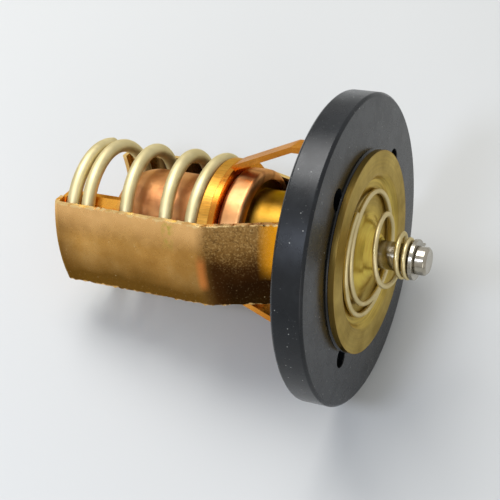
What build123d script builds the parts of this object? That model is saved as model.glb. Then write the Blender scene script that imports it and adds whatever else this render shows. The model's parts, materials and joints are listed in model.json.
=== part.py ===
from build123d import *
import os
from math import asin, atan2, cos, degrees, hypot, radians, sin, sqrt

# Wax thermostat for a marine diesel, lying on its side.
# Millimetres, +Z up.  The origin is the centre of the ring's front face.  The main axis leans up
# and forward from there, along +X.  "Level" is the distance along the axis, positive in front of
# the ring.  "Turn" is the angle round the axis, from the top towards -Y.

# ---- driving sizes -------------------------------------------------------------------------

# Moulded ring that the housing clamps
ring_radius = 27.0
ring_thickness = 5.4
ring_edge = 0.4
bore_radius = 15.0
bead_radius = 17.0
bead_width = 1.2
bead_height = 0.4
seat_slope = 0.9
pocket_circle_radius = 18.5
pocket_radius = 1.8
pocket_depth = 3.0
pocket_turns = (-146.5, -55.5, 48.5, 139.5)

# Pressed valve disc
disc_radius = 17.5
disc_sheet = 1.0
disc_bend = 0.2
dish_radius = 13.3
dish_depth = 1.1
dish_slope = 0.8
hub_foot_radius = 6.6
hub_shoulder_radius = 4.5
hub_top_radius = 3.3
hub_rise = 2.5
hub_shoulder_rise = 1.1

# Turned stem, riveted to the yoke
stem_radius = 2.45
stem_tip_level = 11.5
stem_tip_edge = 0.4
stem_shoulder_radius = 4.0
stem_shoulder = 0.95
rivet_radius = 1.9
rivet_head_radius = 3.0
rivet_head = 0.8

# Retaining clip in the stem's groove
clip_thickness = 0.7
clip_radius = 3.5
clip_groove_depth = 0.5
clip_ear_radius = 1.05
clip_ear_hole = 0.45
clip_ear_circle_radius = 3.75
clip_ear_turn = 24.0
clip_gap = 0.9
clip_turn = 180.0

# Conical spring: turns counted from the wide end, middle radius of the wire, share of its height
cone_wire = 0.94
cone_height = 7.48
cone_stations = (
    (0.00, 10.75, 0.000),
    (0.35, 10.95, 0.000),
    (0.85, 10.60, 0.010),
    (1.35, 8.80, 0.070),
    (1.85, 6.80, 0.285),
    (2.35, 5.20, 0.530),
    (2.85, 3.95, 0.745),
    (3.35, 3.15, 0.860),
    (3.85, 3.15, 0.930),
    (4.40, 3.15, 1.000),
)
cone_start_turn = -65.5

# Yoke: one folded strip that runs over the spring and the wax motor
yoke_sheet = 0.8
yoke_width = 15.6
yoke_camber = 10.0
yoke_rear_level = -53.7
far_strap_trim = 2.0
lip_overlap = 0.5
tongue_width = 14.8
tongue_front_level = -42.4
yoke_bend_level = -24.0
yoke_neck_level = -8.0
yoke_neck_radius = 8.75

# Main spring: turns counted from the rear end, level of the wire's middle as a share of its height
main_wire = 1.9
main_radius = 12.15
main_stations = (
    (0.000, 0.000),
    (0.125, 0.010),
    (1.125, 0.090),
    (2.125, 0.434),
    (3.125, 0.742),
    (4.125, 0.982),
    (4.400, 1.000),
    (4.850, 1.000),
)
main_start_turn = -98.0
main_rest_rise = 1.5

# Bracket: a flat ring with two arms that end in the moulded ring
bracket_sheet = 1.0
bracket_rear_level = -24.0
arm_width = 4.4
arm_foot_radius = 17.8
arm_turn = 83.0
arm_foot_level = -12.6
arm_tab = 2.4

# Thick washer that the main spring pushes on
seat_thickness = 2.0
seat_inset = 0.2

# Wax motor
cup_sheet = 0.8
cup_radius = 9.0
cup_rear_level = -47.7
cup_dome = 7.5
cup_bend = 0.6
cup_flange_radius = 11.6
cup_lip_radius = 9.9
guide_flange = 1.9
guide_neck_radius = 8.2
guide_neck_level = -10.0
guide_boss_radius = 4.4
guide_boss = 1.0
guide_edge = 0.5
diaphragm_thickness = 1.0
piston_radius = 3.0
backup_thickness = 0.6
plug_length = 4.0

# Fits
slide_gap = 0.06
coil_gap = 0.5
tongue_gap = 0.15
stem_gap = 0.08
loose_gap = 0.15
fit_gap = 0.05

# ---- levels and angles worked out from them --------------------------------------------------

disc_front_level = bead_height + disc_sheet
dish_front_level = disc_front_level - dish_depth
dish_rear_level = dish_front_level - disc_sheet
shoulder_front_level = dish_rear_level - fit_gap
bridge_front_level = shoulder_front_level - stem_shoulder
rivet_rear_level = bridge_front_level - yoke_sheet - rivet_head
cone_base_level = dish_front_level + cone_wire / 2 + fit_gap / 2
clip_rear_level = cone_base_level + cone_height + cone_wire / 2 + fit_gap / 2
spring_rear_level = yoke_rear_level + yoke_sheet + main_wire / 2
seat_rear_level = bracket_rear_level - seat_thickness
spring_front_level = seat_rear_level - main_wire / 2
cup_flange_rear_level = bracket_rear_level + bracket_sheet
diaphragm_rear_level = cup_flange_rear_level + cup_sheet
guide_rear_level = diaphragm_rear_level + diaphragm_thickness
guide_flange_front_level = guide_rear_level + guide_flange
cup_front_level = guide_flange_front_level + cup_sheet
plug_rear_level = guide_rear_level + fit_gap
backup_rear_level = plug_rear_level + plug_length
piston_rear_level = backup_rear_level + backup_thickness
seat_radius = main_radius + main_wire / 2 - seat_inset
bracket_radius = seat_radius
yoke_radius = main_radius + main_wire / 2 + coil_gap + yoke_sheet
tongue_radius = main_radius - main_wire / 2 - tongue_gap - yoke_sheet
lip_radius = main_radius - lip_overlap
seat_bore = cup_radius + loose_gap
bracket_bore = cup_radius + cup_bend + loose_gap

# The part lies on the ring's rim and on the lowest point of the rear coil, which sets the lean of
# the axis.  It is then turned until one corner of the yoke touches as well.
rim_level = -ring_thickness + ring_edge
coil_rest_level = spring_rear_level + main_rest_rise
radius_step = ring_radius - main_radius
level_step = rim_level - coil_rest_level
lean = degrees(
    atan2(radius_step, level_step) - asin(main_wire / 2 / hypot(radius_step, level_step))
)
floor_depth = ring_radius * cos(radians(lean)) - rim_level * sin(radians(lean))
corner_level = yoke_rear_level + yoke_sheet
corner_reach = (floor_depth + corner_level * sin(radians(lean))) / cos(radians(lean))
edge_reach = sqrt((yoke_radius + yoke_camber) ** 2 - (yoke_width / 2) ** 2) - yoke_camber
corner_radius = hypot(edge_reach, yoke_width / 2)
corner_turn = degrees(atan2(sqrt(corner_radius**2 - corner_reach**2), corner_reach))
strap_turn = corner_turn + degrees(atan2(yoke_width / 2, edge_reach))

axis_dir = Vector(cos(radians(lean)), 0, sin(radians(lean)))
top_dir = Vector(-sin(radians(lean)), 0, cos(radians(lean)))
side_dir = Vector(0, -1, 0)
main_axis = Axis((0, 0, 0), axis_dir)


def outward(turn):
    """Unit vector away from the axis at an angle round it."""
    return top_dir * cos(radians(turn)) + side_dir * sin(radians(turn))


def across(level, turn=0):
    """Plane square to the axis at a level, its x towards the turn."""
    return Plane(origin=axis_dir * level, x_dir=outward(turn), z_dir=axis_dir)


def lengthwise(turn=0):
    """Plane through the axis: x is the radius at the turn, y the level."""
    return Plane(origin=(0, 0, 0), x_dir=outward(turn), z_dir=outward(turn).cross(axis_dir))


def between(stations, column, turns):
    """Value of one column of a spring's stations, turns after its start."""
    for start, end in zip(stations, stations[1:]):
        if turns <= end[0]:
            share = (turns - start[0]) / (end[0] - start[0])
            return start[column] + (end[column] - start[column]) * share
    return stations[-1][column]


def wire_path(stations, start_turn, radius_of, level_of):
    """Points of a coiled wire's middle line, twelve to a turn."""
    count = round(stations[-1][0] * 12)
    points = []
    for step in range(count + 1):
        turns = stations[-1][0] * step / count
        spoke = outward(start_turn + 360 * turns)
        points.append(spoke * radius_of(turns) + axis_dir * level_of(turns))
    return points


def save(part, name):
    """Name a finished piece and write its file."""
    part.label = name
    export_step(part, f"parts/{name}.step")


os.makedirs("parts", exist_ok=True)

# ---- moulded ring ----------------------------------------------------------------------------
# A flat turned ring with a raised seat bead, a slope from the bead into the bore, four blind
# pockets, and two slots behind for the bracket's tabs.

with BuildPart() as flange_ring:
    with BuildSketch(lengthwise()):
        with BuildLine():
            Polyline(
                (bead_radius - bead_width / 2, 0),
                (bead_radius - bead_width / 4, bead_height),
                (bead_radius + bead_width / 4, bead_height),
                (bead_radius + bead_width / 2, 0),
                (ring_radius - ring_edge, 0),
                (ring_radius, -ring_edge),
                (ring_radius, ring_edge - ring_thickness),
                (ring_radius - ring_edge, -ring_thickness),
                (bore_radius + ring_edge, -ring_thickness),
                (bore_radius, ring_edge - ring_thickness),
                (bore_radius, -seat_slope),
                close=True,
            )
        make_face()
    revolve(axis=main_axis)
    with BuildSketch(across(0, strap_turn)):
        for pocket_turn in pocket_turns:
            with PolarLocations(pocket_circle_radius, 1, start_angle=pocket_turn):
                Circle(pocket_radius)
    extrude(amount=-pocket_depth, mode=Mode.SUBTRACT)
    with BuildSketch(across(-ring_thickness, strap_turn + arm_turn)):
        with PolarLocations(arm_foot_radius - bracket_sheet / 2, 2):
            Rectangle(bracket_sheet + 2 * fit_gap, arm_width + 2 * fit_gap)
    extrude(amount=arm_tab + fit_gap, mode=Mode.SUBTRACT)
save(flange_ring.part, "flange_ring")

# ---- valve disc ------------------------------------------------------------------------------
# Pressed from one sheet: flat rim, a step down to the spring's groove, and a raised hub.

with BuildPart() as valve_disc:
    with BuildSketch(lengthwise()):
        with BuildLine():
            FilletPolyline(
                (hub_top_radius - disc_sheet / 3, dish_front_level + hub_rise),
                (hub_shoulder_radius, dish_front_level + hub_shoulder_rise),
                (hub_foot_radius, dish_front_level),
                (dish_radius - dish_slope, dish_front_level),
                (dish_radius, disc_front_level),
                (disc_radius, disc_front_level),
                radius=[disc_sheet + disc_bend, 1.8, 0.5, disc_sheet + disc_bend],
            )
            offset(amount=disc_sheet, side=Side.RIGHT, closed=True)
        make_face()
    revolve(axis=main_axis)
    with BuildSketch(across(dish_rear_level, 0)):
        Circle(stem_radius + stem_gap)
    extrude(amount=hub_rise + 2 * disc_sheet, mode=Mode.SUBTRACT)
save(valve_disc.part, "valve_disc")

# ---- stem ------------------------------------------------------------------------------------
# Turned steel: tip, clip groove, plain shank, shoulder, and a riveted end behind the yoke.

with BuildPart() as stem:
    with BuildSketch(lengthwise()):
        with BuildLine():
            Polyline(
                (0, rivet_rear_level),
                (rivet_head_radius, rivet_rear_level),
                (rivet_head_radius, rivet_rear_level + rivet_head),
                (rivet_radius, rivet_rear_level + rivet_head),
                (rivet_radius, bridge_front_level),
                (stem_shoulder_radius, bridge_front_level),
                (stem_shoulder_radius, shoulder_front_level),
                (stem_radius, shoulder_front_level),
                (stem_radius, clip_rear_level - fit_gap),
                (stem_radius - clip_groove_depth, clip_rear_level - fit_gap),
                (stem_radius - clip_groove_depth, clip_rear_level + clip_thickness + fit_gap),
                (stem_radius, clip_rear_level + clip_thickness + fit_gap),
                (stem_radius, stem_tip_level - stem_tip_edge),
                (stem_radius - stem_tip_edge, stem_tip_level),
                (0, stem_tip_level),
                close=True,
            )
        make_face()
    revolve(axis=main_axis)
save(stem.part, "stem")

# ---- retaining clip --------------------------------------------------------------------------
# Open snap ring with two drilled ears.

with BuildPart() as retaining_clip:
    with BuildSketch(across(clip_rear_level, strap_turn + clip_turn)):
        Circle(clip_radius)
        with PolarLocations(clip_ear_circle_radius, 2, -clip_ear_turn, 2 * clip_ear_turn):
            Circle(clip_ear_radius)
        Circle(stem_radius - clip_groove_depth + fit_gap, mode=Mode.SUBTRACT)
        with PolarLocations(clip_ear_circle_radius, 2, -clip_ear_turn, 2 * clip_ear_turn):
            Circle(clip_ear_hole, mode=Mode.SUBTRACT)
        with Locations((clip_radius, 0)):
            Rectangle(2 * clip_radius, clip_gap, mode=Mode.SUBTRACT)
    extrude(amount=clip_thickness)
save(retaining_clip.part, "retaining_clip")

# ---- conical spring --------------------------------------------------------------------------

cone_points = wire_path(
    cone_stations,
    strap_turn + cone_start_turn,
    lambda turns: between(cone_stations, 1, turns),
    lambda turns: cone_base_level + cone_height * between(cone_stations, 2, turns),
)
with BuildPart() as conical_spring:
    with BuildLine() as cone_line:
        Spline(*cone_points)
    with BuildSketch(Plane(origin=cone_line.line @ 0, z_dir=cone_line.line % 0)):
        Circle(cone_wire / 2)
    sweep()
save(conical_spring.part, "conical_spring")

# ---- yoke ------------------------------------------------------------------------------------
# One folded strip.  Each strap is slightly curved across, so it is turned about a line beyond the
# main axis and cut to the strip's width.  The near strap's end folds forward again inside the
# spring and keeps it centred.  The far strap's upper edge is sheared lower.


def strap_side(turn, low_edge, high_edge):
    """Half of the yoke, from the rivet hole to the lip at the rear, cut to its two edges."""
    camber_axis = Axis(outward(turn) * -yoke_camber, axis_dir)
    with BuildPart() as half:
        with BuildSketch(lengthwise(turn)):
            with BuildLine():
                FilletPolyline(
                    (lip_radius, yoke_rear_level),
                    (yoke_radius, yoke_rear_level),
                    (yoke_radius, yoke_bend_level),
                    (yoke_neck_radius, yoke_neck_level),
                    (yoke_neck_radius, bridge_front_level),
                    (0, bridge_front_level),
                    radius=[1.4, 4.0, 3.0, 1.4],
                )
                offset(amount=yoke_sheet, side=Side.LEFT, closed=True)
            make_face()
        revolve(axis=camber_axis)
        with BuildSketch(across(yoke_rear_level, turn)):
            with Locations((yoke_radius, (low_edge + high_edge) / 2)):
                Rectangle(2 * yoke_radius, high_edge - low_edge)
        extrude(amount=bridge_front_level - yoke_rear_level, mode=Mode.INTERSECT)
    return half.part


with BuildPart() as tongue:
    with BuildSketch(lengthwise(strap_turn)):
        with BuildLine():
            FilletPolyline(
                (tongue_radius, tongue_front_level),
                (tongue_radius, yoke_rear_level),
                (main_radius, yoke_rear_level),
                radius=yoke_sheet / 2,
            )
            offset(amount=yoke_sheet, side=Side.LEFT, closed=True)
        make_face()
    revolve(axis=main_axis)
    with BuildSketch(across(yoke_rear_level, strap_turn)):
        with Locations((yoke_radius, 0)):
            Rectangle(2 * yoke_radius, tongue_width)
    extrude(amount=tongue_front_level - yoke_rear_level, mode=Mode.INTERSECT)

with BuildPart() as yoke:
    add(strap_side(strap_turn, -yoke_width / 2, yoke_width / 2))
    add(strap_side(strap_turn + 180, -yoke_width / 2, yoke_width / 2 - far_strap_trim))
    add(tongue.part)
    with BuildSketch(across(bridge_front_level)):
        Circle(rivet_radius)
    extrude(amount=-yoke_sheet, mode=Mode.SUBTRACT)
save(yoke.part, "yoke")

# ---- main spring -----------------------------------------------------------------------------

main_points = wire_path(
    main_stations,
    main_start_turn,
    lambda turns: main_radius,
    lambda turns: spring_rear_level
    + (spring_front_level - spring_rear_level) * between(main_stations, 1, turns),
)
with BuildPart() as main_spring:
    with BuildLine() as main_line:
        Spline(*main_points)
    with BuildSketch(Plane(origin=main_line.line @ 0, z_dir=main_line.line % 0)):
        Circle(main_wire / 2)
    sweep()
save(main_spring.part, "main_spring")

# ---- spring seat -----------------------------------------------------------------------------

with BuildPart() as spring_seat:
    with BuildSketch(across(seat_rear_level)):
        Circle(seat_radius)
        Circle(seat_bore, mode=Mode.SUBTRACT)
    extrude(amount=seat_thickness)
save(spring_seat.part, "spring_seat")

# ---- bracket ---------------------------------------------------------------------------------
# Flat ring round the motor with two bent arms, whose tabs sit in the moulded ring.

with BuildPart() as bracket:
    with BuildSketch(across(bracket_rear_level)):
        Circle(bracket_radius)
        Circle(bracket_bore, mode=Mode.SUBTRACT)
    extrude(amount=bracket_sheet)
    for side in (0, 180):
        with BuildSketch(lengthwise(strap_turn + arm_turn + side)):
            with BuildLine():
                FilletPolyline(
                    (bracket_radius - 2 * bracket_sheet, bracket_rear_level),
                    (bracket_radius, bracket_rear_level),
                    (arm_foot_radius, arm_foot_level),
                    (arm_foot_radius, arm_tab - ring_thickness),
                    radius=[1.5 * bracket_sheet, 1.5 * bracket_sheet],
                )
                offset(amount=bracket_sheet, side=Side.LEFT, closed=True)
            make_face()
        extrude(amount=arm_width / 2, both=True)
save(bracket.part, "bracket")

# ---- wax motor: cup --------------------------------------------------------------------------
# Deep-drawn cup with a domed end and a flange rolled in over the guide.

with BuildPart() as motor_cup:
    with BuildSketch(lengthwise()):
        with BuildLine():
            FilletPolyline(
                (0, cup_rear_level),
                (cup_radius, cup_rear_level),
                (cup_radius, cup_flange_rear_level),
                (cup_flange_radius, cup_flange_rear_level),
                (cup_flange_radius, cup_front_level),
                (cup_lip_radius, cup_front_level),
                radius=[cup_dome, cup_bend, 1.0, 1.0],
            )
            offset(amount=cup_sheet, side=Side.LEFT, closed=True)
        make_face()
    revolve(axis=main_axis)
save(motor_cup.part, "motor_cup")

# ---- wax motor: wax, diaphragm and guide -------------------------------------------------------

with BuildPart() as wax_charge:
    with BuildSketch(lengthwise()):
        with BuildLine():
            FilletPolyline(
                (0, cup_rear_level + cup_sheet + fit_gap),
                (cup_radius - cup_sheet - fit_gap, cup_rear_level + cup_sheet + fit_gap),
                (cup_radius - cup_sheet - fit_gap, diaphragm_rear_level),
                radius=[cup_dome - cup_sheet],
            )
            Line(
                (cup_radius - cup_sheet - fit_gap, diaphragm_rear_level),
                (0, diaphragm_rear_level),
            )
            Line((0, diaphragm_rear_level), (0, cup_rear_level + cup_sheet + fit_gap))
        make_face()
    revolve(axis=main_axis)
save(wax_charge.part, "wax_charge")

flange_fit_radius = cup_flange_radius - cup_sheet - fit_gap
with BuildPart() as diaphragm:
    with BuildSketch(across(diaphragm_rear_level)):
        Circle(flange_fit_radius)
    extrude(amount=diaphragm_thickness)
    fillet(diaphragm.edges().sort_by(main_axis)[0], 0.25 * diaphragm_thickness)
save(diaphragm.part, "diaphragm")

with BuildPart() as motor_guide:
    with BuildSketch(lengthwise()):
        with BuildLine():
            Polyline(
                (piston_radius + slide_gap, guide_rear_level),
                (flange_fit_radius, guide_rear_level),
                (flange_fit_radius, guide_flange_front_level - guide_edge),
                (flange_fit_radius - guide_edge, guide_flange_front_level),
                (guide_neck_radius, guide_flange_front_level),
                (guide_neck_radius, guide_neck_level - guide_edge),
                (guide_neck_radius - guide_edge, guide_neck_level),
                (guide_boss_radius, guide_neck_level),
                (guide_boss_radius, guide_neck_level + guide_boss),
                (piston_radius + slide_gap, guide_neck_level + guide_boss),
                close=True,
            )
        make_face()
    revolve(axis=main_axis)
save(motor_guide.part, "motor_guide")

# ---- wax motor: plug, backup disc and piston ---------------------------------------------------

with BuildPart() as rubber_plug:
    with BuildSketch(across(plug_rear_level)):
        Circle(piston_radius)
    extrude(amount=plug_length)
save(rubber_plug.part, "rubber_plug")

with BuildPart() as backup_disc:
    with BuildSketch(across(backup_rear_level)):
        Circle(piston_radius)
    extrude(amount=backup_thickness)
save(backup_disc.part, "backup_disc")

with BuildPart() as piston:
    with BuildSketch(across(piston_rear_level)):
        Circle(piston_radius)
    extrude(amount=rivet_rear_level - piston_rear_level)
    chamfer(piston.edges().sort_by(main_axis)[-1], guide_edge)
save(piston.part, "piston")

print(f"axis leans {lean:.2f} degrees, near strap at {strap_turn:.2f} degrees from the top")
print(f"floor {floor_depth:.3f} mm under the origin")
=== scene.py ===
# %% [markdown]
# # A wax thermostat in copper, brass and black moulding
#
# The part is about as long as a thumb. A moulded ring carries a brass valve disc in front and a
# wax motor behind. Two springs and a folded copper strap join them. The construction comes from
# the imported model, and this script gives it finishes, wire springs, worn edges and light.

import json
import math

import bmesh
import bpy
from mathutils import Matrix, Vector, noise


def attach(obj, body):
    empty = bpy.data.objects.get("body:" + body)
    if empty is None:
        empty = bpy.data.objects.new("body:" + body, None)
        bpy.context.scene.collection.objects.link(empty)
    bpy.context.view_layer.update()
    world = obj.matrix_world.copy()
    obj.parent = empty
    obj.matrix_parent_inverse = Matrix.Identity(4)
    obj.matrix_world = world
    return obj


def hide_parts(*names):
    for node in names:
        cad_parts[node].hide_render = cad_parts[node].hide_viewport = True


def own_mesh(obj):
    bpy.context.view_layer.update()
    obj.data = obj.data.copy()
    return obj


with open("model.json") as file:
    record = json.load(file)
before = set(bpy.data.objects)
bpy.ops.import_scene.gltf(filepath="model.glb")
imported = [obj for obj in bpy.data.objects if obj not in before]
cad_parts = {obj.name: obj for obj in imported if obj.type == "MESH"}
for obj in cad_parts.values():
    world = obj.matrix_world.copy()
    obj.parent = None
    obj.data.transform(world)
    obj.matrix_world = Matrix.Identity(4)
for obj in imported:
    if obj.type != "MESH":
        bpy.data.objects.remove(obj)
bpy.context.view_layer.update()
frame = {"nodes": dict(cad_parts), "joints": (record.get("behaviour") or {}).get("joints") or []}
print("nodes:", ", ".join(sorted(frame["nodes"])))

# %% [markdown]
# ## A frame along the valve's axis
#
# The thermostat lies on its side, so its axis leans. Every turned piece is far easier to draw
# upright, with the axis along Z and in millimetres. One matrix then lays it down in the row's
# frame. The axis is read from the sliding joint, so the two can't disagree.

# %% Axis and the matrix that lays a piece down
MM = 0.001
axis_dir = Vector(frame["joints"][0]["axis"]).normalized()
top_dir = Vector((-axis_dir.z, 0.0, axis_dir.x))
side_dir = axis_dir.cross(top_dir)
lay_down = Matrix((top_dir, side_dir, axis_dir)).transposed().to_4x4() @ Matrix.Scale(MM, 4)
lean = math.asin(axis_dir.z)
print("axis leans", round(math.degrees(lean), 2), "degrees")


# %% [markdown]
# ## Colours and shader nodes
#
# Colours are written as the hex values that a screen shows, and one function turns them into
# the linear values that the renderer works in. One function sets or links the inputs of a node, and
# another adds a node, so each material below reads as a short recipe. A node passed as an input
# stands for the first output that it has switched on.

# %% Helpers for nodes
def linear(code):
    """Linear RGBA from an sRGB hex code."""
    parts = [int(code[i:i + 2], 16) / 255 for i in (1, 3, 5)]
    return [c / 12.92 if c <= 0.04045 else ((c + 0.055) / 1.055) ** 2.4 for c in parts] + [1.0]


def feed(tree, node, inputs):
    """Fill a node's inputs. Each value is a number, a hex colour, a socket or another node."""
    for name, value in inputs.items():
        if isinstance(value, bpy.types.Node):
            value = next(output for output in value.outputs if output.enabled)
        if isinstance(value, bpy.types.NodeSocket):
            tree.links.new(value, node.inputs[name])
        else:
            node.inputs[name].default_value = linear(value) if isinstance(value, str) else value


def add(tree, kind, inputs=None, stops=(), **settings):
    """Add one node with its settings, its inputs and, for a colour ramp, (position, hex) stops."""
    node = tree.nodes.new("ShaderNode" + kind)
    for name, value in settings.items():
        setattr(node, name, value)
    for place, (position, shade) in enumerate(stops):
        if place > 1:
            node.color_ramp.elements.new(position)
        node.color_ramp.elements[place].position = position
        node.color_ramp.elements[place].color = linear(shade)
    feed(tree, node, inputs or {})
    return node


print("mid grey on screen is", round(linear("#808080")[0], 3), "in linear light")

# %% [markdown]
# ## Coordinates that follow the piece
#
# A real finish follows how a piece was made: turning marks run round the axis, rolling marks
# along the sheet. So each material first turns the object's coordinates upright and into
# millimetres. Textures could be unwrapped onto each face instead, but a pattern that fills space
# needs no seams, and its scale can be given straight in millimetres.

# %% Start a material
def start_material(name, metallic, roughness, edge="#ffffff"):
    """New material: returns it, its tree, its shader, and upright coordinates in mm."""
    material = bpy.data.materials.new(name)
    material.use_nodes = True
    tree = material.node_tree
    shader = tree.nodes["Principled BSDF"]
    feed(tree, shader, {"Metallic": metallic, "Roughness": roughness, "Specular Tint": edge})
    place = add(tree, "TexCoord").outputs["Object"]
    upright = add(tree, "Mapping", {
        "Vector": place, "Rotation": (0, lean - math.pi / 2, math.pi),
        "Scale": (1 / MM, 1 / MM, 1 / MM),
    })
    return material, tree, shader, upright


def polar(tree, upright, around=1.0, along=1.0):
    """Coordinates (radius, turn, level), so that a pattern runs round the axis."""
    parts = add(tree, "SeparateXYZ", {"Vector": upright}).outputs
    flat = add(tree, "CombineXYZ", {"X": parts["X"], "Y": parts["Y"]})
    radius = add(tree, "VectorMath", {0: flat}, operation="LENGTH")
    turn = add(tree, "Math", {0: parts["Y"], 1: parts["X"]}, operation="ARCTAN2")
    turned = add(tree, "Math", {0: turn, 1: around}, operation="MULTIPLY")
    level = add(tree, "Math", {0: parts["Z"], 1: along}, operation="MULTIPLY")
    return add(tree, "CombineXYZ", {"X": radius, "Y": turned, "Z": level})


print("one unit of texture space is", MM, "m")

# %% [markdown]
# ## Clouds, mottling and fine relief
#
# Age shows on metal as soft clouds of colour, as patches that are duller than the rest, and as
# fine pits. All three are noise read in different ways: through a ramp of colours, through a
# range of values, or as height. Sizes are those of the lumps, in millimetres. The render has
# about five pixels to a millimetre, so a real grain much under 0.2 mm wouldn't show, and is drawn
# as coarse as it needs to be.

# %% Noise read in three ways
def clouded(tree, where, size, stops, detail=3.0, rough=0.55):
    """Soft clouds of colour from (position, hex) stops."""
    lumps = add(tree, "TexNoise", {
        "Vector": where, "Scale": 1 / size, "Detail": detail, "Roughness": rough})
    return add(tree, "ValToRGB", {"Fac": lumps}, stops)


def mottled(tree, where, size, read, give=(0.0, 1.0), detail=3.0, rough=0.55):
    """Patchy value: the noise between the two values of read becomes the range give."""
    lumps = add(tree, "TexNoise", {
        "Vector": where, "Scale": 1 / size, "Detail": detail, "Roughness": rough})
    return add(tree, "MapRange", {0: lumps, 1: read[0], 2: read[1], 3: give[0], 4: give[1]})


def pitted(tree, shader, where, size, depth, strength, detail=3.0):
    """Fine relief, depth in mm, laid over any relief that the shader already has."""
    lumps = add(tree, "TexNoise", {
        "Vector": where, "Scale": 1 / size, "Detail": detail, "Roughness": 0.55})
    relief = add(tree, "Bump", {"Height": lumps, "Distance": depth * MM, "Strength": strength})
    normal = shader.inputs["Normal"]
    if normal.is_linked:
        feed(tree, relief, {"Normal": normal.links[0].from_socket})
    feed(tree, shader, {"Normal": relief})


print("ready:", clouded.__name__, mottled.__name__, pitted.__name__)

# %% [markdown]
# ## Stains and painted light with soft borders
#
# A stain, or a patch of painted light or shade, covers part of a face and fades at its borders. It
# could be painted by hand on an unwrapped picture. Here each border is a distance in millimetres
# from where the stain starts to where it is full, so a stain stays on its place when the shape is
# edited. The masks of all its borders are multiplied, and the colour goes on through the product.

# %% Masks and paint
def patch(tree, *borders):
    """Product of borders, each a mask or (measure, where it starts, where it is full, most)."""
    mask = None
    for border in borders:
        if isinstance(border, tuple):
            measure, start, full, *most = border
            strength = most[0] if most else 1.0
            border = add(tree, "MapRange", {0: measure, 1: start, 2: full, 4: strength})
        if mask is not None:
            border = add(tree, "Math", {0: mask, 1: border}, operation="MULTIPLY")
        mask = border
    return mask


def paint(tree, below, colour, *borders):
    """Lay one colour over another within soft borders."""
    return add(tree, "Mix", {0: patch(tree, *borders), 6: below, 7: colour}, data_type="RGBA")


def cells(tree, upright, per_mm, channel):
    """Scattered points: the distance to the nearest, and that point's random number."""
    made = add(tree, "TexVoronoi", {"Vector": upright, "Scale": per_mm})
    lots = add(tree, "SeparateColor", {"Color": made.outputs["Color"]})
    return made.outputs["Distance"], lots.outputs[channel]


print("ready:", patch.__name__, paint.__name__, cells.__name__)

# %% [markdown]
# ## Black phenolic moulding
#
# The ring is a hard moulded resin with a turned, satin skin. It isn't truly black: light skims
# it as a cool grey, and handling has left soft marks. A plain black would look like a hole, so
# the colour is a very dark blue grey in clouds, under a thin pale film.

# %% Ring finish
moulding, tree, shader, upright = start_material("phenolic_moulding", 0.0, 0.3)
feed(tree, shader, {"Specular IOR Level": 0.33})  # a dull skin gives back less light
base = clouded(tree, upright, 9.0, [(0.3, "#0b0d0f"), (0.7, "#131619")], 4.0)
film = mottled(tree, upright, 2.2, (0.52, 0.8), (0.0, 0.3), 6.0, 0.75)
dusty = paint(tree, base, "#34383b", film)
worn = mottled(tree, upright, 5.0, (0.3, 0.7), (0.2, 0.34), 5.0, 0.7)
# Tool lines round the ring, about 2 mm long. Real ones are about 0.1 mm apart and wouldn't show,
# so these are 0.35 mm apart.
pitted(tree, shader, polar(tree, upright, 4.0, 6.0), 0.35, 0.004, 0.5, 2.0)
pitted(tree, shader, upright, 0.4, 0.003, 0.4, 2.0)
print(moulding.name, len(tree.nodes), "nodes before its dust")

# %% [markdown]
# ## Dust on the moulding
#
# Pale dust sits on the ring in single grains, with finer crumbs near the seat. It shows that the
# ring is old and dry, and gives the eye its size. The grains could be real geometry, but they
# are flat, so a scattered mask in the colour is enough.

# %% Dust on the ring
DUST_PER_MM = 0.9  # one place for a grain on each 1.1 mm, and about half of them have one
CRUMBS_PER_MM = 2.2  # finer crumbs, which gather where the disc's seat begins
grain, lot = cells(tree, upright, DUST_PER_MM, "Red")
dusted = paint(tree, dusty, "#a9a9a2", (grain, 0.1, 0.05), (lot, 0.52, 0.56))
crumb, lot = cells(tree, upright, CRUMBS_PER_MM, "Green")
radius = add(tree, "SeparateXYZ", {"Vector": polar(tree, upright)}).outputs["X"]
gathered = add(tree, "Math", {0: lot, 1: patch(tree, (radius, 21.0, 18.2, 0.3))}, operation="ADD")
crumbly = paint(tree, dusted, "#8d8e88", (crumb, 0.14, 0.08), (gathered, 0.7, 0.8, 0.5))
feed(tree, shader, {"Base Color": crumbly, "Roughness": worn})
print(moulding.name, len(tree.nodes), "nodes")

# %% [markdown]
# ## Pressed brass
#
# The disc is soft brass gone olive with age, lighter yellow on its hub and browner at its rim.
# These zones follow the radius, so each is laid on by its distance from the axis.

# %% Disc finish
PRESS_RING = 0.35  # mm; the real rings are nearer 0.1 mm and wouldn't show
disc_brass, tree, shader, upright = start_material("aged_brass", 1.0, 0.32, "#f8eed2")
where = polar(tree, upright, 0.5, 1.0)
radius = add(tree, "SeparateXYZ", {"Vector": where}).outputs["X"]
olive = [(0.32, "#8d7636"), (0.55, "#a68d48"), (0.8, "#bca65c")]
base = clouded(tree, upright, 6.0, olive, 5.0, 0.6)
hub = paint(tree, base, "#dfc45c", (radius, 8.5, 6.0, 0.85))
# The dish's wall, 10 to 13.6 mm out, and the rim from 17.2 mm on.
ringed = mottled(tree, where, PRESS_RING, (0.2, 0.6))
stepped = paint(tree, hub, "#c4ab58", (radius, 10.0, 12.0), (radius, 13.6, 12.8), ringed)
edged = paint(tree, stepped, "#9a7a3c", (radius, 17.2, 17.45, 0.6))
print(disc_brass.name, len(tree.nodes), "nodes so far")

# %% [markdown]
# ## Press rings
#
# The press left faint rings round the disc's axis, which pull the reflections into arcs. They
# could be cut into the mesh, but they are only microns deep, so one noise in polar coordinates
# serves as both their colour and their relief.

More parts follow.
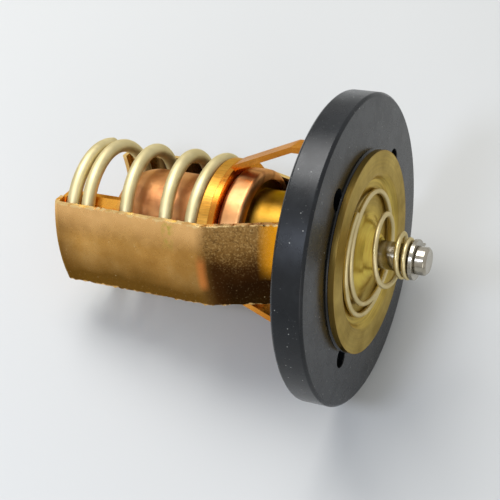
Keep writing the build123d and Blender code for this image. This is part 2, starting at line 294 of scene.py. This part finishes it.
# %% Press rings on the disc
rings = mottled(tree, where, PRESS_RING, (0.35, 0.65), (0.05, 0.9))
ringed_all_over = add(
    tree, "Mix", {0: 0.12, 6: edged, 7: rings}, data_type="RGBA", blend_type="OVERLAY")
dulled = mottled(tree, upright, 6.0, (0.3, 0.75), (0.38, 0.25), 5.0, 0.6)
feed(tree, shader, {"Base Color": ringed_all_over, "Roughness": dulled})
pitted(tree, shader, where, PRESS_RING, 0.006, 0.5)
pitted(tree, shader, upright, 0.25, 0.006, 0.4, 2.0)
print(disc_brass.name, len(tree.nodes), "nodes")

# %% [markdown]
# ## Turned and sheared brass
#
# The guide was turned, so fine rings run round it. The seat washer was sheared from thick sheet,
# and the shear tore its rim into short upright ticks, darker in their hollows, which make the rim
# glitter. Ticks of mesh would need thousands of faces, so relief and colour share one noise that
# is stretched along the axis.

# %% Guide and seat finishes
guide_brass, tree, shader, upright = start_material("turned_brass", 1.0, 0.4, "#ecd69a")
tone = clouded(tree, upright, 3.0, [(0.3, "#84601a"), (0.7, "#ab8130")])
feed(tree, shader, {"Base Color": tone})
# The tool's feed is about 0.1 mm a turn, and is drawn at 0.2 mm.
pitted(tree, shader, polar(tree, upright, 0.3, 1.0), 0.2, 0.006, 0.5, 2.0)
print(guide_brass.name, len(tree.nodes), "nodes")

TICK = 0.34  # mm; the rim's coordinates make it 0.15 mm wide and 3.4 mm long, right across the rim
seat_brass, tree, shader, upright = start_material("sheared_brass", 1.0, 0.34, "#f6e0b0")
rim = polar(tree, upright, 30.0, 0.1)
tone = clouded(tree, upright, 3.0, [(0.3, "#c98c34"), (0.7, "#e2ac50")])
torn = mottled(tree, rim, TICK, (0.56, 0.42), (0.0, 0.45), 1.0)
feed(tree, shader, {"Base Color": paint(tree, tone, "#93652a", torn)})
pitted(tree, shader, rim, TICK, 0.03, 0.7, 1.0)
print(seat_brass.name, len(tree.nodes), "nodes")

# %% [markdown]
# ## Copper plate
#
# The yoke and bracket are steel sheet with a copper flash, and the cup is drawn copper. All three
# are satin and warm, cloudy where coolant dried, and carry faint rolling marks. What they share is
# one function, and each then gets its own stains, so that they look like one family.

# %% What the copper pieces share
def copper_plate(name, dark, middle, light, roughness):
    """Start a copper finish: returns it with its cloudy base colour still to link."""
    material, tree, shader, upright = start_material(name, 1.0, roughness, "#f6deb8")
    base = clouded(tree, upright, 7.0, [(0.28, dark), (0.52, middle), (0.75, light)], 5.0, 0.6)
    worn = mottled(tree, upright, 1.3, (0.3, 0.7), (roughness - 0.06, roughness + 0.08), 4.0, 0.6)
    feed(tree, shader, {"Roughness": worn})
    # Rolling marks, drawn out along the strip. Real ones are hair-fine, so these are 0.9 mm wide.
    pitted(tree, shader, polar(tree, upright, 14.0, 0.6), 0.9, 0.006, 0.3)
    pitted(tree, shader, upright, 0.3, 0.004, 0.4)
    return material, tree, shader, upright, base


STRAP_TURN = 66.42  # degrees round the axis, from the top, to the middle of the near strap
strap_angle = math.radians(STRAP_TURN)
strap_out = Vector((math.cos(strap_angle), math.sin(strap_angle), 0))
strap_up = Vector((math.sin(strap_angle), -math.cos(strap_angle), 0))


def strap_measures(tree, upright):
    """Distances in mm: out from the axis through the strap, up across it, and along the axis."""
    return [
        add(tree, "VectorMath", {0: upright, 1: direction}, operation="DOT_PRODUCT")
        for direction in (strap_out, strap_up, Vector((0, 0, 1)))
    ]


print("the near strap lies", STRAP_TURN, "degrees round from the top")

# %% [markdown]
# ## The strap's long face
#
# The long face of the yoke has a painted highlight along its upper edge, painted shade below, and
# more painted shade at the heel where it bends. That painted shading gives the eye the strap's
# slight camber. The borders wander a little, because a noise is added to the height before the
# paint reads it.

# %% Long face
strap_finish, tree, shader, upright, base = copper_plate(
    "copper_plated_strap", "#b27f3c", "#c9954d", "#dcac66", 0.25)
reach, over, level = strap_measures(tree, upright)
wander = mottled(tree, upright, 8.0, (0.3, 0.7), (-1.2, 1.2), 2.0)
height = add(tree, "Math", {0: over, 1: wander}, operation="ADD")
# Painted shade over the lower part of the face, and a painted highlight along its upper edge.
lower_painted_shade = paint(tree, base, "#65451a", (height, 2.5, -5.5, 0.95))
upper_painted_highlight = paint(tree, lower_painted_shade, "#ffca84", (height, 2.5, 7.0, 0.8))
# Painted shade at the heel, where the strap bends at its rear end.
heel_painted_shade = paint(tree, upper_painted_highlight, "#5f3f1a", (level, -48.5, -52.5, 0.75), (height, 6.5, 1.5))
print(strap_finish.name, len(tree.nodes), "nodes after the long face")

# %% [markdown]
# ## The strap's slope to the rivet
#
# In front of its bend the strap slopes in to the rivet. The slope gets painted shade, nearly black
# below, a pale and brown crust sits in the middle, and by the ring a painted orange reflection
# lights it again. A painted highlight runs along the bend. Each layer is laid over the last.

# %% Slope
# Painted shade on the slope, darker and then nearly black lower down.
slope_painted_shade = paint(tree, heel_painted_shade, "#7d5b2c", (level, -25.2, -23.0, 0.85))
slope_deeper_painted_shade = paint(tree, slope_painted_shade, "#43240c", (level, -24.8, -22.0), (height, 5.0, 0.6, 0.95))
slope_darkest_painted_shade = paint(tree, slope_deeper_painted_shade, "#1f1006", (level, -24.4, -19.5), (height, 1.8, -2.6, 0.85))
crust = patch(tree, (level, -24.8, -22.8), (height, -1.0, 4.0, 0.5))
brown_crumbs = mottled(tree, upright, 0.5, (0.48, 0.38))
pale_crumbs = mottled(tree, upright, 0.3, (0.53, 0.62), detail=2.0)
crusted = paint(tree, slope_darkest_painted_shade, "#45290f", crust, brown_crumbs)
crusted = paint(tree, crusted, "#c9a468", crust, pale_crumbs)
# Painted reflection of orange light on the slope by the ring.
ring_painted_reflection = paint(tree, crusted, "#ffab1e", (level, -15.0, -12.4), (height, -2.5, 1.5))
# Painted highlight in a band along the bend.
bend_painted_highlight = paint(
    tree, ring_painted_reflection, "#e68a44",
    (level, -25.2, -24.3), (level, -22.9, -23.8, 0.6), (height, 2.8, 0.4), (height, -4.6, -2.2))
print(strap_finish.name, len(tree.nodes), "nodes after the slope")

# %% [markdown]
# ## Inside the yoke
#
# The folded tongue inside the coil gets a painted warm reflection. The far strap gets painted shade
# on its inner face, which makes the middle of the part look deep, a painted sheen elsewhere, and a
# painted highlight along one edge. Its camber is an arc, so its inner face is found by the distance
# from the arc's centre.

# %% Tongue and far strap
CAMBER_CENTRE = (10.0, 0.0, 0.0)  # mm out through the strap
inside = patch(tree, (reach, 12.6, 12.0), (level, -41.0, -43.0))
# Painted warm reflection on the tongue's inner faces.
tongue_painted_reflection = paint(tree, bend_painted_highlight, "#f9b046", inside, (reach, 2.0, 4.0))
section = add(tree, "CombineXYZ", {"X": reach, "Y": over})
bowed = add(tree, "VectorMath", {0: section, 1: CAMBER_CENTRE}, operation="DISTANCE")
# Painted sheen: the far strap's copper is lightened all over.
far_painted_sheen = add(tree, "Mix", {0: 0.4, 6: base, 7: "#f2cf86"}, data_type="RGBA")
# Painted shade on the far strap's inner face.
far_painted_shade = paint(tree, far_painted_sheen, "#3c2610", (bowed, 24.3, 23.9), (level, -50.0, -46.0))
# Painted highlight in a band along one edge of the far strap.
far_painted_highlight = paint(tree, far_painted_shade, "#f2cf86", (over, 5.0, 5.5))
sides = paint(tree, tongue_painted_reflection, far_painted_highlight, (reach, -9.0, -11.0))
print(strap_finish.name, len(tree.nodes), "nodes after the inside")

# %% [markdown]
# ## A green trail and painted edge highlights
#
# A drop of coolant ran down the strap and left a green trail. Both long edges get a painted
# highlight, a pale line along each, and bright specks show where the plate has chipped. The painted
# lines' borders are ragged, because a straight border would look ruled.

# %% Trail, edges and specks
faint = mottled(tree, upright, 1.4, (0.42, 0.62), (0.0, 0.7), 4.0)
stained = paint(
    tree, sides, "#b3ae38",
    (level, -31.6, -30.6), (level, -28.8, -29.8), (height, 2.6, 5.4), (reach, 3.0, 5.0), faint)
ragged = mottled(tree, upright, 1.1, (0.3, 0.7), (-0.35, 0.3), 4.0)
cut = add(tree, "Math", {0: over, 1: ragged}, operation="ADD")
near = patch(tree, (reach, 3.0, 5.0))
# Painted highlight along the near strap's upper edge, and a weaker one along its lower edge.
upper_edge_painted_highlight = paint(tree, stained, "#ffdf9e", (cut, 7.6, 7.78, 0.8), near)
lower_edge_painted_highlight = paint(tree, upper_edge_painted_highlight, "#f3c47c", (cut, -7.65, -7.85, 0.7), near)
pebbles = mottled(tree, upright, 0.35, (0.62, 0.76), (0.0, 0.16), 2.0)
pebbled = paint(tree, lower_edge_painted_highlight, "#e3c48c", pebbles, near)
SPECKS_PER_MM = 0.75  # one place for a chip on each 1.3 mm, and one in seven has one
speck, lot = cells(tree, upright, SPECKS_PER_MM, "Red")
chipped = paint(tree, pebbled, "#ecd3a0", (speck, 0.12, 0.05), (lot, 0.84, 0.86, 0.4))
feed(tree, shader, {"Base Color": chipped})
print(strap_finish.name, len(tree.nodes), "nodes")

# %% [markdown]
# ## Bracket and cup
#
# The bracket is the same plate, redder, with brown blots. The cup is pinker, rosier and darker
# below, and marbled with dark veins. A distorted wave makes the veins, because a
# plain noise gives only blots.

# %% Bracket and cup finishes
bracket_finish, tree, shader, upright, base = copper_plate(
    "copper_plated_bracket", "#a8641f", "#cf8530", "#eaa348", 0.24)
blots = mottled(tree, upright, 2.4, (0.6, 0.72), (0.0, 0.6), 5.0, 0.65)
feed(tree, shader, {"Base Color": paint(tree, base, "#8a5424", blots)})
print(bracket_finish.name, len(tree.nodes), "nodes")

cup_copper, tree, shader, upright, base = copper_plate(
    "drawn_copper", "#c28452", "#d89c64", "#e8b680", 0.36)
_, over, _ = strap_measures(tree, upright)
rosy = paint(tree, base, "#b9745a", (over, 6.0, 1.0, 0.45))
curl = add(tree, "TexWave", {
    "Vector": upright, "Scale": 0.09, "Distortion": 9.0, "Detail": 3.0, "Detail Scale": 0.6})
veined = paint(tree, rosy, "#8a5038", (curl.outputs["Fac"], 0.72, 0.97, 0.46))
freckles = mottled(tree, upright, 0.7, (0.66, 0.78), (0.0, 0.4), 4.0, 0.6)
feed(tree, shader, {"Base Color": paint(tree, veined, "#6d3f2c", freckles)})
print(cup_copper.name, len(tree.nodes), "nodes")

# %% [markdown]
# ## Steel, wire and the soft pieces
#
# The springs are drawn wire, one plain stainless and one plated, and both are dull and warm, so
# they shine in broad soft streaks. The stem is ground and polished, and the clip is stamped from
# spring steel. Rubber, wax and the white disc hide in the motor, so they get one plain recipe.
# The steels differ only in shade, roughness and grit, so one function makes them all.

# %% Steel and soft finishes
def steel(name, dark, light, roughness, grit, edge="#ffffff"):
    """Clouded steel. The grit in mm is coarser than the real 0.05 mm or less, so that it shows."""
    material, tree, shader, upright = start_material(name, 1.0, roughness, edge)
    tone = clouded(tree, upright, 4.0, [(0.3, dark), (0.7, light)], 4.0)
    rub = mottled(tree, upright, 1.0, (0.3, 0.7), (roughness - 0.05, roughness + 0.07))
    feed(tree, shader, {"Base Color": tone, "Roughness": rub})
    pitted(tree, shader, upright, grit, 0.0006, 0.3, 2.0)
    return material


def plain_soft(name, dark, light, roughness):
    """Rubber, wax or plastic, with a skin of 0.3 mm grain that is coarser than the real one."""
    material, tree, shader, upright = start_material(name, 0.0, roughness)
    feed(tree, shader, {"Base Color": clouded(tree, upright, 1.5, [(0.3, dark), (0.7, light)])})
    pitted(tree, shader, upright, 0.3, 0.02, 0.5)
    return material


FINISHES = {
    "flange_ring": moulding,
    "valve_disc": disc_brass,
    "stem": steel("polished_steel", "#8f8878", "#bdb6a8", 0.14, 0.3),
    "retaining_clip": steel("spring_steel", "#8f897c", "#b4ae9f", 0.25, 0.2),
    "conical_spring": steel("drawn_stainless_wire", "#c4b482", "#dccca0", 0.4, 0.6, "#f6ecd2"),
    "main_spring": steel("zinc_plated_wire", "#cdbf90", "#e0d3a6", 0.54, 0.8, "#f0e2be"),
    "yoke": strap_finish,
    "bracket": bracket_finish,
    "motor_cup": cup_copper,
    "spring_seat": seat_brass,
    "motor_guide": guide_brass,
    "wax_charge": plain_soft("filled_wax", "#744626", "#865532", 0.6),
    "diaphragm": plain_soft("black_rubber", "#191919", "#202020", 0.7),
    "rubber_plug": plain_soft("plug_rubber", "#191919", "#222222", 0.7),
    "backup_disc": plain_soft("white_fluoropolymer", "#d5d5ce", "#dddcd6", 0.4),
    "piston": steel("ground_piston_steel", "#b5b3ad", "#d0cec8", 0.2, 0.15),
}
for name, material in FINISHES.items():
    slots = frame["nodes"][name].data.materials
    slots.clear()
    slots.append(material)
print(len(FINISHES), "finishes")

# %% [markdown]
# ## Springs
#
# A spring is one wire wound round an axis, closer at its ends than in its middle, and the conical
# one also changes radius. A formula with one pitch can't say that, so each spring is a short
# table of stations: turns from its start, radius, and share of its height. Between stations the
# values are straight lines, averaged a little so that the wire has no kinks.

# %% Read a spring's stations
def between(stations, column, turns):
    """Value of one column of a spring's stations, turns after its start."""
    for start, end in zip(stations, stations[1:]):
        if turns <= end[0]:
            share = (turns - start[0]) / (end[0] - start[0])
            return start[column] + (end[column] - start[column]) * share
    return stations[-1][column]


def smoothed(stations, column, turns, reach=0.09):
    """The same value, averaged over a short stretch of wire so that the pitch eases."""
    last = stations[-1][0]
    samples = [min(max(turns + reach * k / 3, 0.0), last) for k in range(-3, 4)]
    return sum(between(stations, column, s) for s in samples) / len(samples)


print("halfway between 2 and 4 is", between([(0, 2), (1, 4)], 1, 0.5))

# %% [markdown]
# ## Winding a wire
#
# Real wire is wound on a mandrel. Here a ring of vertices, the wire's cut end, is spun a small
# step at a time, and each step also climbs and moves in or out. A curve with a bevel would also
# do, but spinning keeps the end faces square and the vertices even.

# %% Wind a wire
STEPS_PER_TURN = 60
WIRE_SIDES = 20
END_ROUNDING = 0.08  # share of the wire's thickness


def wind(wire, stations, start_turn, low_level, high_level):
    """bmesh of a wound wire, upright and in mm. Stations: turns, radius, share of height."""
    def at(turns):
        radius = smoothed(stations, 1, turns)
        return radius, low_level + (high_level - low_level) * smoothed(stations, 2, turns)

    bm = bmesh.new()
    radius, level = at(0.0)
    first = math.radians(start_turn)
    made = bmesh.ops.create_circle(bm, segments=WIRE_SIDES, radius=wire / 2)
    rim = bm.edges[:]
    bmesh.ops.rotate(bm, verts=made["verts"], matrix=Matrix.Rotation(math.pi / 2, 3, "X"))
    bmesh.ops.translate(bm, verts=made["verts"], vec=(radius, 0, level))
    bmesh.ops.rotate(bm, verts=made["verts"], matrix=Matrix.Rotation(first, 3, "Z"))
    ends = [rim]
    total = stations[-1][0]
    count = round(total * STEPS_PER_TURN)
    for step in range(1, count + 1):
        turns = total * step / count
        next_radius, next_level = at(turns)
        made = bmesh.ops.spin(
            bm, geom=rim, cent=(0, 0, 0), axis=(0, 0, 1), dvec=(0, 0, next_level - level),
            angle=2 * math.pi * total / count, steps=1, use_duplicate=False,
        )
        rim = [e for e in made["geom_last"] if isinstance(e, bmesh.types.BMEdge)]
        moved = [v for v in made["geom_last"] if isinstance(v, bmesh.types.BMVert)]
        turn = first + 2 * math.pi * turns
        outward = Vector((math.cos(turn), math.sin(turn), 0)) * (next_radius - radius)
        bmesh.ops.translate(bm, verts=moved, vec=outward)
        radius, level = next_radius, next_level
    ends.append(rim)
    for loop in ends:
        bmesh.ops.edgeloop_fill(bm, edges=loop)
    bmesh.ops.bevel(
        bm, geom=[e for loop in ends for e in loop if e.is_valid], offset=wire * END_ROUNDING,
        segments=2, profile=0.5, affect="EDGES", material=-1,
    )
    bmesh.ops.recalc_face_normals(bm, faces=bm.faces)
    return bm


print(STEPS_PER_TURN, "steps a turn,", WIRE_SIDES, "sides round the wire")

# %% [markdown]
# ## From a bmesh to a finished piece
#
# Every piece is drawn upright in millimetres and has to end up lying down, in metres, with its
# finish, on the body that carries it. Faces are shaded smooth across shallow angles and crisp
# across steep ones, which is what tells a rounded surface from a corner.

# %% Lay a piece down
CREASE = 35  # degrees; a steeper edge is shaded as a corner


def lay(bm, name, material, body):
    """Turn an upright bmesh in mm into a finished piece that rides on a body."""
    bmesh.ops.transform(bm, matrix=lay_down, verts=bm.verts)
    mesh = bpy.data.meshes.new(name)
    for face in bm.faces:
        face.smooth = True
    for edge in bm.edges:
        if edge.smooth and len(edge.link_faces) == 2:
            edge.smooth = edge.calc_face_angle(0.0) < math.radians(CREASE)
    bm.to_mesh(mesh)
    bm.free()
    piece = bpy.data.objects.new(name, mesh)
    piece.data.materials.append(material)
    bpy.context.collection.objects.link(piece)
    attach(piece, body)
    return piece


print("edges over", CREASE, "degrees stay crisp")

# %% [markdown]
# ## The return spring
#
# The big spring pushes the yoke back when the wax cools. Its wire is wound with closed end coils,
# which sit flat on the strap's lips and on the seat washer, and open coils between. The wire is
# drawn at 2.4 mm, which is thicker than the imported solid's 1.9 mm, because the solid was made too
# thin. So that it doesn't sink into the floor, the coil is drawn in slightly where it lies.

# %% Return spring
MAIN_WIRE = 2.4
MAIN_RADIUS = 12.3
FLOOR_RADIUS = 11.9  # where the rear coil lies on the floor
MAIN_START_TURN = -50.0
MAIN_STATIONS = (
    (0.000, MAIN_RADIUS, 0.000),
    (0.400, MAIN_RADIUS, 0.041),
    (0.640, FLOOR_RADIUS, 0.066),
    (0.880, MAIN_RADIUS, 0.090),
    (0.992, MAIN_RADIUS, 0.104),
    (1.323, MAIN_RADIUS, 0.166),
    (2.323, MAIN_RADIUS, 0.502),
    (3.323, MAIN_RADIUS, 0.821),
    (3.992, MAIN_RADIUS, 0.982),
    (4.267, MAIN_RADIUS, 1.000),
    (4.717, MAIN_RADIUS, 1.000),
)
SEAT_LEVEL = -26.0
LIP_LEVEL = -52.9
main_spring = lay(
    wind(
        MAIN_WIRE, MAIN_STATIONS, MAIN_START_TURN,
        LIP_LEVEL + MAIN_WIRE / 2, SEAT_LEVEL - MAIN_WIRE / 2,
    ),
    "return_spring_wire", FINISHES["main_spring"], "fixed_frame",
)
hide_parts("main_spring")
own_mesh(main_spring)
print("return spring:", len(main_spring.data.vertices), "vertices")

# %% [markdown]
# ## The relief spring
#
# The small conical spring holds the disc on its seat and gives way when the pressure behind the
# disc is too high. Its wide end sits in the disc's dish and its narrow end under the clip. A cone
# can close almost flat, because each coil drops inside the next, and its radius is one more
# column of the stations.

# %% Relief spring
CONE_WIRE = 0.94
CONE_START_TURN = STRAP_TURN - 65.5
CONE_STATIONS = (
    (0.00, 10.75, 0.000),
    (0.35, 10.95, 0.000),
    (0.85, 10.60, 0.010),
    (1.35, 8.80, 0.070),
    (1.85, 6.80, 0.285),
    (2.35, 5.20, 0.530),
    (2.85, 3.95, 0.745),
    (3.35, 3.15, 0.860),
    (3.85, 3.15, 0.930),
    (4.40, 3.15, 1.000),
)
CONE_LOW = 0.795
CONE_HIGH = 8.275
relief_spring = lay(
    wind(CONE_WIRE, CONE_STATIONS, CONE_START_TURN, CONE_LOW, CONE_HIGH),
    "relief_spring_wire", FINISHES["conical_spring"], "lifting_yoke",
)
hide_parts("conical_spring")
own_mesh(relief_spring)
print("relief spring:", len(relief_spring.data.vertices), "vertices")

# %% [markdown]
# ## Worn edges
#
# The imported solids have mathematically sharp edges, and no real edge is that sharp: a sheared,
# moulded or turned edge is rounded by a tenth of a millimetre, and that is what catches light.
# Each solid is copied, its triangles are joined into whole faces, and its sharp edges are
# bevelled. The bevel's border edges stay sharp in the shading, so that flat faces stay flat.

# %% Copy a solid and round its edges
WELD = 0.001  # mm
FLAT = 0.4  # degrees; faces closer than this are one face
SHARP = 25  # degrees; a steeper edge is rounded


def worn_copy(node, width):
    """bmesh of a CAD node, upright and in mm, with its sharp edges bevelled."""
    bm = bmesh.new()
    bm.from_mesh(frame["nodes"][node].data)
    bmesh.ops.transform(bm, matrix=lay_down.inverted(), verts=bm.verts)
    bmesh.ops.remove_doubles(bm, verts=bm.verts, dist=WELD)
    bmesh.ops.dissolve_limit(bm, angle_limit=math.radians(FLAT), verts=bm.verts, edges=bm.edges)
    bm.normal_update()
    edges = [
        e for e in bm.edges
        if len(e.link_faces) == 2 and e.calc_face_angle(0.0) > math.radians(SHARP)
    ]
    made = bmesh.ops.bevel(
        bm, geom=edges, offset=width, segments=2, profile=0.5, affect="EDGES", material=-1,
        clamp_overlap=True,
    )
    rounded = set(made["faces"])
    for face in rounded:
        for edge in face.edges:
            if any(other not in rounded for other in edge.link_faces):
                edge.smooth = False
    return bm


def dress(bm, name, node, body):
    """Finish a copy as the piece that replaces its node."""
    piece = lay(bm, name, FINISHES[node], body)
    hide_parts(node)
    print(name, len(piece.data.polygons), "faces")
    return piece


print("edges over", SHARP, "degrees get rounded")

# %% [markdown]
# ## The moulded ring
#
# A mould leaves a ring with a small broken edge all round, and handling polishes it. The thin
# pale line that runs along the front edge is the bevel's highlight.

# %% Ring
dress(worn_copy("flange_ring", 0.12), "ring_moulding", "flange_ring", "fixed_frame")

# %% [markdown]
# ## The valve disc and the stem
#
# The disc is punched and pressed in one stroke, so its rim has one rounded and one crisp edge.
# The stem is turned, then its end is spun over the yoke like a rivet. All three pieces are
# rounded copies of the solids, as their forms are already right.

# %% Disc, stem and clip
dress(worn_copy("valve_disc", 0.1), "pressed_disc", "valve_disc", "valve")
dress(worn_copy("stem", 0.08), "turned_stem", "stem", "lifting_yoke")
dress(worn_copy("retaining_clip", 0.08), "snap_clip", "retaining_clip", "lifting_yoke")

# %% [markdown]
# ## The folded yoke
#
# The yoke is one strip sheared from sheet and folded. Its edges will be made ragged, and a long
# straight edge has no points in it to move. Dividing the whole mesh evenly would cost far more
# faces, so the copy is only cut across every half millimetre.

# %% Cut the strip across
FIRST_CUT = -53.5
CUT_STEP = 0.5
CUTS = 88
strip = worn_copy("yoke", 0.1)
for step in range(CUTS):
    bmesh.ops.bisect_plane(
        strip, geom=strip.verts[:] + strip.edges[:] + strip.faces[:], dist=0.001,
        plane_co=(0, 0, FIRST_CUT + CUT_STEP * step), plane_no=(0, 0, 1),
    )
print("strip cut into", len(strip.faces), "faces")

# %% [markdown]
# ## The burr
#
# The shear drags a ragged burr along the cut, and its points catch the light as a broken bright
# line. A noise that runs along the strip pulls the edge's points out and in by about a tenth of a
# millimetre, with a sharper spike here and there.

# %% Drag a burr along both edges
BURR_EDGE = 7.45  # mm across the strip from its middle; the burr lies past it
NEAR_STRAP = 4  # mm out from the axis
WAVES, SPIKES, ACROSS = 1.1, 2.6, 0.3  # how fast the noise runs, for each mm along and across
SPIKE_FLOOR = 0.15  # only a noise above this makes a spike
WAVE_ACROSS, SPIKE_ACROSS = 0.1, 0.4  # mm out over the edge
WAVE_OUT, SPIKE_OUT = 0.08, 0.3  # mm away from the axis
moved = 0
for vert in strip.verts:
    reach = vert.co.x * math.cos(strap_angle) + vert.co.y * math.sin(strap_angle)
    over = vert.co.x * math.sin(strap_angle) - vert.co.y * math.cos(strap_angle)
    if reach < NEAR_STRAP or abs(over) < BURR_EDGE:
        continue
    wave = noise.noise(Vector((vert.co.z * WAVES, over * ACROSS, 5.0)))
    spike = max(0.0, noise.noise(Vector((vert.co.z * SPIKES, 3.0, over * ACROSS))) - SPIKE_FLOOR)
    side = 1.0 if over > 0 else -1.0
    across = WAVE_ACROSS * wave + SPIKE_ACROSS * spike
    outward = WAVE_OUT * wave + SPIKE_OUT * spike
    vert.co += strap_up * side * across + strap_out * outward
    moved += 1
print(moved, "points moved")
dress(strip, "folded_strap", "yoke", "lifting_yoke")

# %% [markdown]
# ## Bracket, seat and wax motor
#
# These are stamped and drawn pieces. The stamped ones keep a crisp edge, while a drawn cup has
# no sharp edge at all, apart from its crimped lip. The seat is thick, so its edge is wider.

# %% Bracket, seat, cup and guide
dress(worn_copy("bracket", 0.1), "arm_bracket", "bracket", "fixed_frame")
dress(worn_copy("spring_seat", 0.15), "seat_washer", "spring_seat", "fixed_frame")
dress(worn_copy("motor_cup", 0.15), "drawn_cup", "motor_cup", "fixed_frame")
dress(worn_copy("motor_guide", 0.1), "turned_guide", "motor_guide", "fixed_frame")

# %% [markdown]
# ## The floor
#
# The part rests on a pale matt board. The board takes a soft shadow, which shows how the part
# lies, and light that bounces off it lifts the dark side of the metals. One plane is enough, at
# the level where the ring and the rear coil touch it.

# %% Floor
FLOOR_LEVEL = -27.284 * MM
FLOOR_SIZE = 4.0
bpy.ops.mesh.primitive_plane_add(size=FLOOR_SIZE, location=(0, 0, FLOOR_LEVEL))
floor = bpy.context.object
floor.name = "floor"
board = bpy.data.materials.new("pale_matt_floor")
board.use_nodes = True
feed(board.node_tree, board.node_tree.nodes["Principled BSDF"], {
    "Base Color": "#cacac7", "Roughness": 0.7})
floor.data.materials.append(board)
print("floor at", round(FLOOR_LEVEL / MM, 2), "mm")

# %% [markdown]
# ## The surround
#
# Metal shows only what it reflects. A studio hangs white cloth round a metal part, and here the
# surround does the same: rays from the camera and rays that mirror or pass through see it white,
# while the light that it sheds on the part is a dimmer, cooler sky. One background can't do
# both, so the kind of ray chooses between two.

# %% World
SKY_LIGHT = 0.55
CLOTH_LIGHT = 0.7
world = bpy.data.worlds.new("studio")
bpy.context.scene.world = world
world.use_nodes = True
surround = world.node_tree
sky = surround.nodes["Background"]
feed(surround, sky, {"Color": "#eef1f4", "Strength": SKY_LIGHT})
cloth = add(surround, "Background", {"Color": "#ffffff", "Strength": CLOTH_LIGHT})
ray = add(surround, "LightPath").outputs
direct = add(surround, "Math", {
    0: ray["Is Camera Ray"], 1: ray["Is Glossy Ray"]}, operation="MAXIMUM")
seen = add(surround, "Math", {0: direct, 1: ray["Is Transmission Ray"]}, operation="MAXIMUM")
shown = add(surround, "MixShader", {0: seen, 1: sky, 2: cloth})
feed(surround, surround.nodes["World Output"], {"Surface": shown})
print("surround:", len(surround.nodes), "nodes")

# %% [markdown]
# ## Lamps
#
# The lamps are large and soft and stand where their reflections make long, clean highlights: a
# key above and behind to the left, a weak fill in front, and a small cool one that draws a line
# along the ring's rim.

# %% Lamps
def softbox(name, place, aim, size, power, tint="#ffffff"):
    """Square area lamp at a place in mm from the origin, aimed at another."""
    lamp = bpy.data.lights.new(name, "AREA")
    lamp.size = size * MM
    lamp.energy = power
    lamp.color = linear(tint)[:3]
    holder = bpy.data.objects.new(name, lamp)
    holder.location = Vector(place) * MM
    holder.rotation_euler = (Vector(aim) - Vector(place)).to_track_quat("-Z", "Y").to_euler()
    bpy.context.collection.objects.link(holder)
    print(name, size, "mm,", power, "W")


softbox("key_softbox", place=(-220, 160, 380), aim=(-20, 0, 0), size=260, power=1.75)
softbox("front_fill", place=(240, -340, 160), aim=(0, 0, 0), size=260, power=0.3)
softbox("rim_strip", place=(-120, -190, 245), aim=(0, 0, 15), size=60, power=0.42, tint="#dde8ff")

# %% [markdown]
# ## The camera
#
# A long lens looks down on the part from in front, slightly rolled. The direction of view becomes
# a rotation by tracking the camera's own axis, and the roll is added round it.

# %% Camera
LENS = 82.8  # mm
EYE = (14.166, -104.451, 166.314)  # mm from the origin
AHEAD = (-0.1653, 0.4982, -0.8512)
ROLL = 3.25  # degrees
camera_data = bpy.data.cameras.new("camera")
camera_data.lens = LENS
camera = bpy.data.objects.new("camera", camera_data)
camera.location = Vector(EYE) * MM
tilt = Matrix.Rotation(math.radians(ROLL), 3, "Z").to_quaternion()
camera.rotation_euler = (Vector(AHEAD).to_track_quat("-Z", "Y") @ tilt).to_euler()
bpy.context.collection.objects.link(camera)
bpy.context.scene.camera = camera
bpy.context.scene.view_settings.view_transform = "Standard"
print("camera", round(camera.location.length / MM), "mm from the origin")
